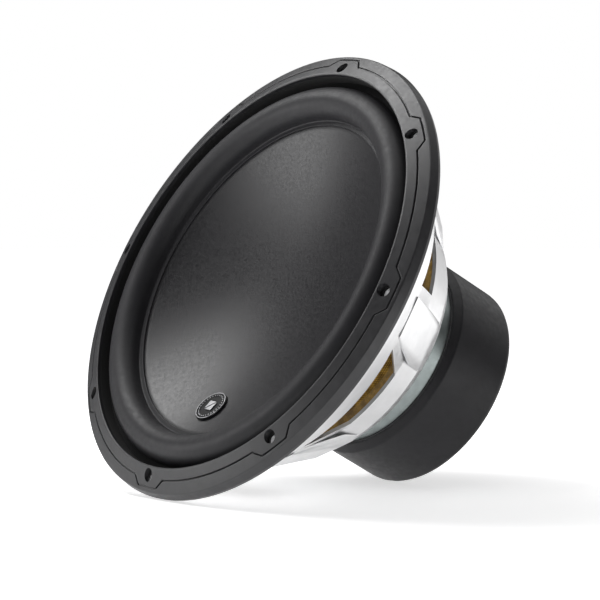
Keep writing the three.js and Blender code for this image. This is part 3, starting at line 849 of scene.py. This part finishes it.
def build_frame_screws():
    """Round-headed socket screws through the basket's seat into the top plate."""
    seat, crown = 107.2, 103.6
    shank, tip = 2.4, 122
    socket = circle(2.0, 6)
    for i in range(SPOKE_COUNT):
        screw = lathe("screw", [
            (0, crown), (3.4, crown + 0.1, 1.0), (4.6, crown + 1, 0.8), (4.6, seat, 0.2),
            (shank, seat), (shank, tip, 0.6), (0, tip),
        ], 48)
        screw = boolean(screw, "DIFFERENCE", [prism("socket", socket, 102.2, 105.6, upright)])
        screw = moved(screw, SCREW_CIRCLE_R, turn=360 * i / SPOKE_COUNT)
        piece(f"frame_bolt_{i + 1}", screw, "frame", [f"frame_screw_{i + 1}"], "screw_steel")


# ---------------------------------------------------------------- terminals
# The terminal block is made on the +X side, then turned to its place.
def terminal_hole(radius, length, r, depth):
    """A rod that points away from the driver's axis, with its middle at r."""
    return prism("hole", circle(radius, 32), r - length / 2, r + length / 2,
                 lambda u, v, w: (w * MM, u * MM, z_at(depth + v)))


def upright_bar(name, half_thickness, half_width, r, top, bottom):
    """A flat bar that stands upright, with its thickness along the radius."""
    outline = [(r - half_thickness, -half_width), (r + half_thickness, -half_width),
               (r + half_thickness, half_width), (r - half_thickness, half_width)]
    return prism(name, outline, top, bottom, upright)


def build_terminal_block():
    outline = [(97.9, 79), (112, 79), (112, 98), (90.2, 98)]
    block = prism("block", outline, -20, 20, lambda u, v, w: (u * MM, w * MM, z_at(v)))
    block = bevelled(block, 1.2, 4)
    cutters = [terminal_hole(2.3, 44, 108, TERMINAL_SCREW_DEPTH)]
    for y in (-BUTTON_OFFSET, BUTTON_OFFSET):
        cutters += [
            moved(rod("guide", 2.9, 78, 99), BUTTON_AXIS_R, y),
            moved(rod("pocket", 4.8, 90, 99), BUTTON_AXIS_R, y),
            moved(terminal_hole(3.05, 12, BUTTON_AXIS_R + 6, 84), 0, y),
            moved(upright_bar("slot", 0.75, 3.3, TAB_R, 72, 85), 0, y),
        ]
    block = boolean(block, "DIFFERENCE", cutters, 0.25, overlapping=True)
    block = moved(block, turn=TERMINAL_ANGLE)
    piece("push_terminal", block, "frame", ["terminal_block"], "terminal_plastic")


def build_terminal_screw():
    """A slotted screw that points away from the driver's axis: lathed upright, then laid down."""
    profile = [(0, 86.5), (1.9, 87), (1.9, 112.3), (4, 112.3), (4, 113.5), (2.6, 114.5), (0, 114.6)]
    screw = lathe("screw", [(radius, FACE / MM - r) for radius, r in profile], 48)
    screw.transform(Matrix.Rotation(math.radians(90), 4, "Y"))
    screw.transform(Matrix.Translation((0, 0, z_at(TERMINAL_SCREW_DEPTH))))
    slot = upright_bar("slot", 1.2, 0.5, 114.8, 84, 92)
    screw = moved(boolean(screw, "DIFFERENCE", [slot]), turn=TERMINAL_ANGLE)
    piece("block_screw", screw, "frame", ["terminal_screw"], "screw_steel")


def tube_along(name, points, radius, sides=12):
    """A round tube through the points, which are in millimetres: x, y and depth."""
    centres = [Vector((x * MM, y * MM, z_at(depth))) for x, y, depth in points]
    rows, normal = [], None
    for i, centre in enumerate(centres):
        ahead = (centres[min(i + 1, len(centres) - 1)] - centres[max(i - 1, 0)]).normalized()
        if normal is None:
            normal = ahead.orthogonal().normalized()
        normal = (normal - ahead * normal.dot(ahead)).normalized()
        side = ahead.cross(normal)
        for k in range(sides):
            a = 2 * math.pi * k / sides
            rows.append(centre + (normal * math.cos(a) + side * math.sin(a)) * radius * MM)
    faces = [tuple(range(sides)), tuple(range(len(rows) - sides, len(rows)))]
    for i in range(len(centres) - 1):
        for k in range(sides):
            here, beside = i * sides + k, i * sides + (k + 1) % sides
            faces.append((here, beside, beside + sides, here + sides))
    return from_points(name, rows, faces)


def at_terminal(mesh, x, y):
    """Puts a mesh beside the terminal's middle and turns it to the terminal's place."""
    return moved(moved(mesh, x, y), turn=TERMINAL_ANGLE)


def build_button(sign, offset, look):
    """A push button, its cap hanging below the block."""
    cap, skirt = CAP_TOP_DEPTH, CAP_TOP_DEPTH + 5.3
    button = lathe("button", [
        (0, 87), (2.5, 87, 0.4), (2.5, cap, 0.4), (5.8, cap, 0.6), (5.8, skirt, 0.9), (4.4, skirt, 0.6),
        (0, skirt - 0.6),
    ], 72)
    body = f"{sign}_button"
    piece(f"{sign}_push_cap", at_terminal(button, BUTTON_AXIS_R, offset), body, [body], look)


def build_spring(sign, offset):
    """A coil spring between the pocket's roof and the cap."""
    wire_r, coil_r = 0.45, 3.7
    low, high = CAP_TOP_DEPTH - CLEARANCE - wire_r, 90.3 + wire_r
    turns, steps = 4, 128
    coil = []
    for share in np.linspace(0, 1, steps + 1):
        turn = 2 * math.pi * turns * share
        coil.append((coil_r * math.cos(turn), coil_r * math.sin(turn), low + (high - low) * share))
    spring = at_terminal(tube_along("spring", coil, wire_r, 10), BUTTON_AXIS_R, offset)
    turn = Matrix.Rotation(math.radians(TERMINAL_ANGLE), 4, "Z")
    centre = (turn @ Vector((BUTTON_AXIS_R * MM, offset * MM, 0)))[:2]
    move = (f"{sign}_button", (*centre, z_at(high)), (*centre, z_at(low)))
    piece(f"{sign}_coil_spring", spring, move, [f"{sign}_spring"], "spring_steel")


def build_tab(sign, offset):
    """A solder tab with an eye, and the braided lead from it to the edge of the spider."""
    tab = bevelled(upright_bar("tab", 0.4, 3, TAB_R, 70.5, 84.5), 0.15, 2)
    tab = boolean(tab, "DIFFERENCE", [terminal_hole(1.1, 4, TAB_R, 73.2)], 0.1)
    piece(f"{sign}_lug", at_terminal(tab, 0, offset), "frame", [f"{sign}_solder_tab"], "tab_brass")
    knots = [(98.3, 73), (96, 73.2), (93.5, 75), (91.5, 77.2), (90.6, 79.2)]
    line = [(r, offset, depth) for r, depth in smooth_line(knots, 6)]
    lead = moved(tube_along("lead", line, 0.9), turn=TERMINAL_ANGLE)
    piece(f"{sign}_braided_lead", lead, "frame", [f"{sign}_lead"], "tinsel_copper")


def build_terminals():
    build_terminal_block()
    build_terminal_screw()
    for sign, offset, look in (("positive", BUTTON_OFFSET, "red_plastic"),
                               ("negative", -BUTTON_OFFSET, "black_cap")):
        build_button(sign, offset, look)
        build_spring(sign, offset)
        build_tab(sign, offset)


def smooth_line(knots, steps):
    """Catmull-Rom points through the knots."""
    padded = [knots[0], *knots, knots[-1]]
    line = []
    for a, b, c, d in zip(padded, padded[1:], padded[2:], padded[3:]):
        a, b, c, d = (np.array(p, float) for p in (a, b, c, d))
        for i in range(steps):
            t = i / steps
            line.append(tuple(0.5 * (2 * b + (c - a) * t + (2 * a - 5 * b + 4 * c - d) * t ** 2
                                     + (3 * b - a - 3 * c + d) * t ** 3)))
    return [*line, knots[-1]]


build_front()
build_basket()
build_surround()
build_spider()
build_cone()
build_badge()
build_motor()
build_frame_screws()
build_terminals()


# ---------------------------------------------------------------- stage
# The driver lies tilted on the edge of its trim ring and the rear edge of its boot, which both
# touch the floor at the same azimuth.
LEAN_AZIMUTH = math.radians(154)
CAMERA_PLACE = Vector((-1.0272, -1.1078, 1.1194))
CAMERA_AIM = Vector((0.0130, 0.0124, 0.1163))
LENS = 164.5
SENSOR_WIDTH = 36
# The boot's rounded rear edge touches the floor this far in, and this far up from the rear face.
BOOT_EDGE_IN = 1.6
BOOT_EDGE_UP = 1

lean = Vector((math.cos(LEAN_AZIMUTH), math.sin(LEAN_AZIMUTH), 0))
along = Vector((-lean.y, lean.x, 0))
ring_contact = lean * TRIM_OUTER_R * MM + Vector((0, 0, z_at(TRIM_WIDEST_DEPTH)))
boot_contact = lean * (BOOT_R - BOOT_EDGE_IN) * MM + Vector((0, 0, z_at(REAR_DEPTH - BOOT_EDGE_UP)))
UP = along.cross(ring_contact - boot_contact).normalized()
if UP.dot(lean) > 0:
    UP = -UP
forward = (CAMERA_AIM - CAMERA_PLACE).normalized()
RIGHT = forward.cross(UP).normalized()
AWAY = UP.cross(RIGHT).normalized()
FLOOR_POINT = ring_contact - UP * CLEARANCE * MM
CENTRE = Vector((0, 0, FACE / 2))


def facing(place, target, up):
    """A matrix at place whose -Z looks at target."""
    ahead = (target - place).normalized()
    side = ahead.cross(up).normalized()
    top = side.cross(ahead)
    turn = Matrix((side, top, -ahead)).transposed()
    return Matrix.Translation(place) @ turn.to_4x4()


def softbox(name, direction, distance, size, power, shadow=True):
    """A soft light in a direction from the object: right, away and up, as the camera sees it. One
    with no shadow only adds light, and leaves the floor even."""
    light = bpy.data.lights.new(name, "AREA")
    light.shape = "RECTANGLE"
    light.size, light.size_y = size
    light.energy = power
    light.use_shadow = shadow
    obj = in_scene(name, light)
    right, away, up = direction
    ray = (RIGHT * right + AWAY * away + UP * up).normalized()
    nearly_above = abs(up) > 0.9
    obj.matrix_world = facing(CENTRE + ray * distance, CENTRE, AWAY if nearly_above else UP)
    obj.visible_camera = False


def build_camera():
    data = bpy.data.cameras.new("camera")
    data.lens = LENS
    data.sensor_width = SENSOR_WIDTH
    data.clip_start = 0.05
    data.clip_end = 60
    camera = in_scene("camera", data)
    camera.matrix_world = facing(CAMERA_PLACE, CAMERA_AIM, UP)
    bpy.context.scene.camera = camera


def mixed_shaders(nodes, links, share, first, second):
    """The first shader where share is 0 and the second where it is 1."""
    mix = nodes.new("ShaderNodeMixShader")
    links.new(share, mix.inputs["Fac"])
    links.new(first, mix.inputs[1])
    links.new(second, mix.inputs[2])
    return mix.outputs["Shader"]


def floor_material():
    """A matt pale surface, lit up evenly at a distance so that only the object's shadow shows."""
    glow_centre = FLOOR_POINT + RIGHT * 0.14
    shadow_reach, even_reach = 0.10, 0.38
    shadow_glow, even_glow = 0.55, 1.0
    material, nodes, links = node_tree("pale_floor")
    shader = nodes["Principled BSDF"]
    place = nodes.new("ShaderNodeTexCoord").outputs["Object"]
    cloudy = noise(nodes, links, place, size_mm=180)
    tone = tinted(nodes, links, cloudy, (0.90, 0.90, 0.905), (0.93, 0.93, 0.935))
    links.new(tone, shader.inputs["Base Color"])
    shader.inputs["Roughness"].default_value = 0.6
    shader.inputs["Specular IOR Level"].default_value = 0.2
    shader.inputs["Emission Color"].default_value = (1, 1, 1, 1)
    reach = nodes.new("ShaderNodeVectorMath")
    reach.operation = "DISTANCE"
    reach.inputs[1].default_value = glow_centre
    links.new(place, reach.inputs[0])
    glow = smooth_map(nodes, links, reach.outputs["Value"], shadow_reach, even_reach,
                      shadow_glow, even_glow)
    links.new(glow, shader.inputs["Emission Strength"])
    underside = nodes.new("ShaderNodeNewGeometry").outputs["Backfacing"]
    clear = nodes.new("ShaderNodeBsdfTransparent").outputs["BSDF"]
    shown = mixed_shaders(nodes, links, underside, shader.outputs["BSDF"], clear)
    links.new(shown, nodes["Material Output"].inputs["Surface"])
    return material


def build_floor():
    """A plain floor, seen from above only, so that the views from below show the object."""
    half = 6
    signs = ((-1, -1), (1, -1), (1, 1), (-1, 1))
    corners = [FLOOR_POINT + RIGHT * a * half + AWAY * b * half for a, b in signs]
    mesh = bpy.data.meshes.new("floor")
    mesh.from_pydata(corners, [], [(0, 1, 2, 3)])
    mesh.materials.append(floor_material())
    in_scene("floor", mesh)


def white_sky(nodes, strength):
    sky = nodes.new("ShaderNodeBackground")
    sky.inputs["Color"].default_value = (1, 1, 1, 1)
    sky.inputs["Strength"].default_value = strength
    return sky.outputs["Background"]


def build_world():
    """The sky is white behind the object, and lights it dimly."""
    world = bpy.data.worlds.new("studio")
    world.use_nodes = True
    nodes, links = world.node_tree.nodes, world.node_tree.links
    seen = nodes.new("ShaderNodeLightPath").outputs["Is Camera Ray"]
    sky = mixed_shaders(nodes, links, seen, white_sky(nodes, 0.10), white_sky(nodes, 1.0))
    links.new(sky, nodes["World Output"].inputs["Surface"])
    bpy.context.scene.world = world


build_camera()
build_floor()
build_world()
softbox("left_low", (-0.97, 0.06, 0.22), 1.0, (0.52, 0.35), 2.5, shadow=False)
softbox("left_high", (-0.54, 0.28, 0.80), 1.0, (0.5, 0.5), 5.0)
softbox("back_right", (0.7, 0.65, 0.3), 1.7, (1.6, 1.2), 4.0)
softbox("overhead", (0.1, 0.2, 1.0), 1.6, (1.6, 1.6), 8)
bpy.context.scene.view_settings.view_transform = "Standard"
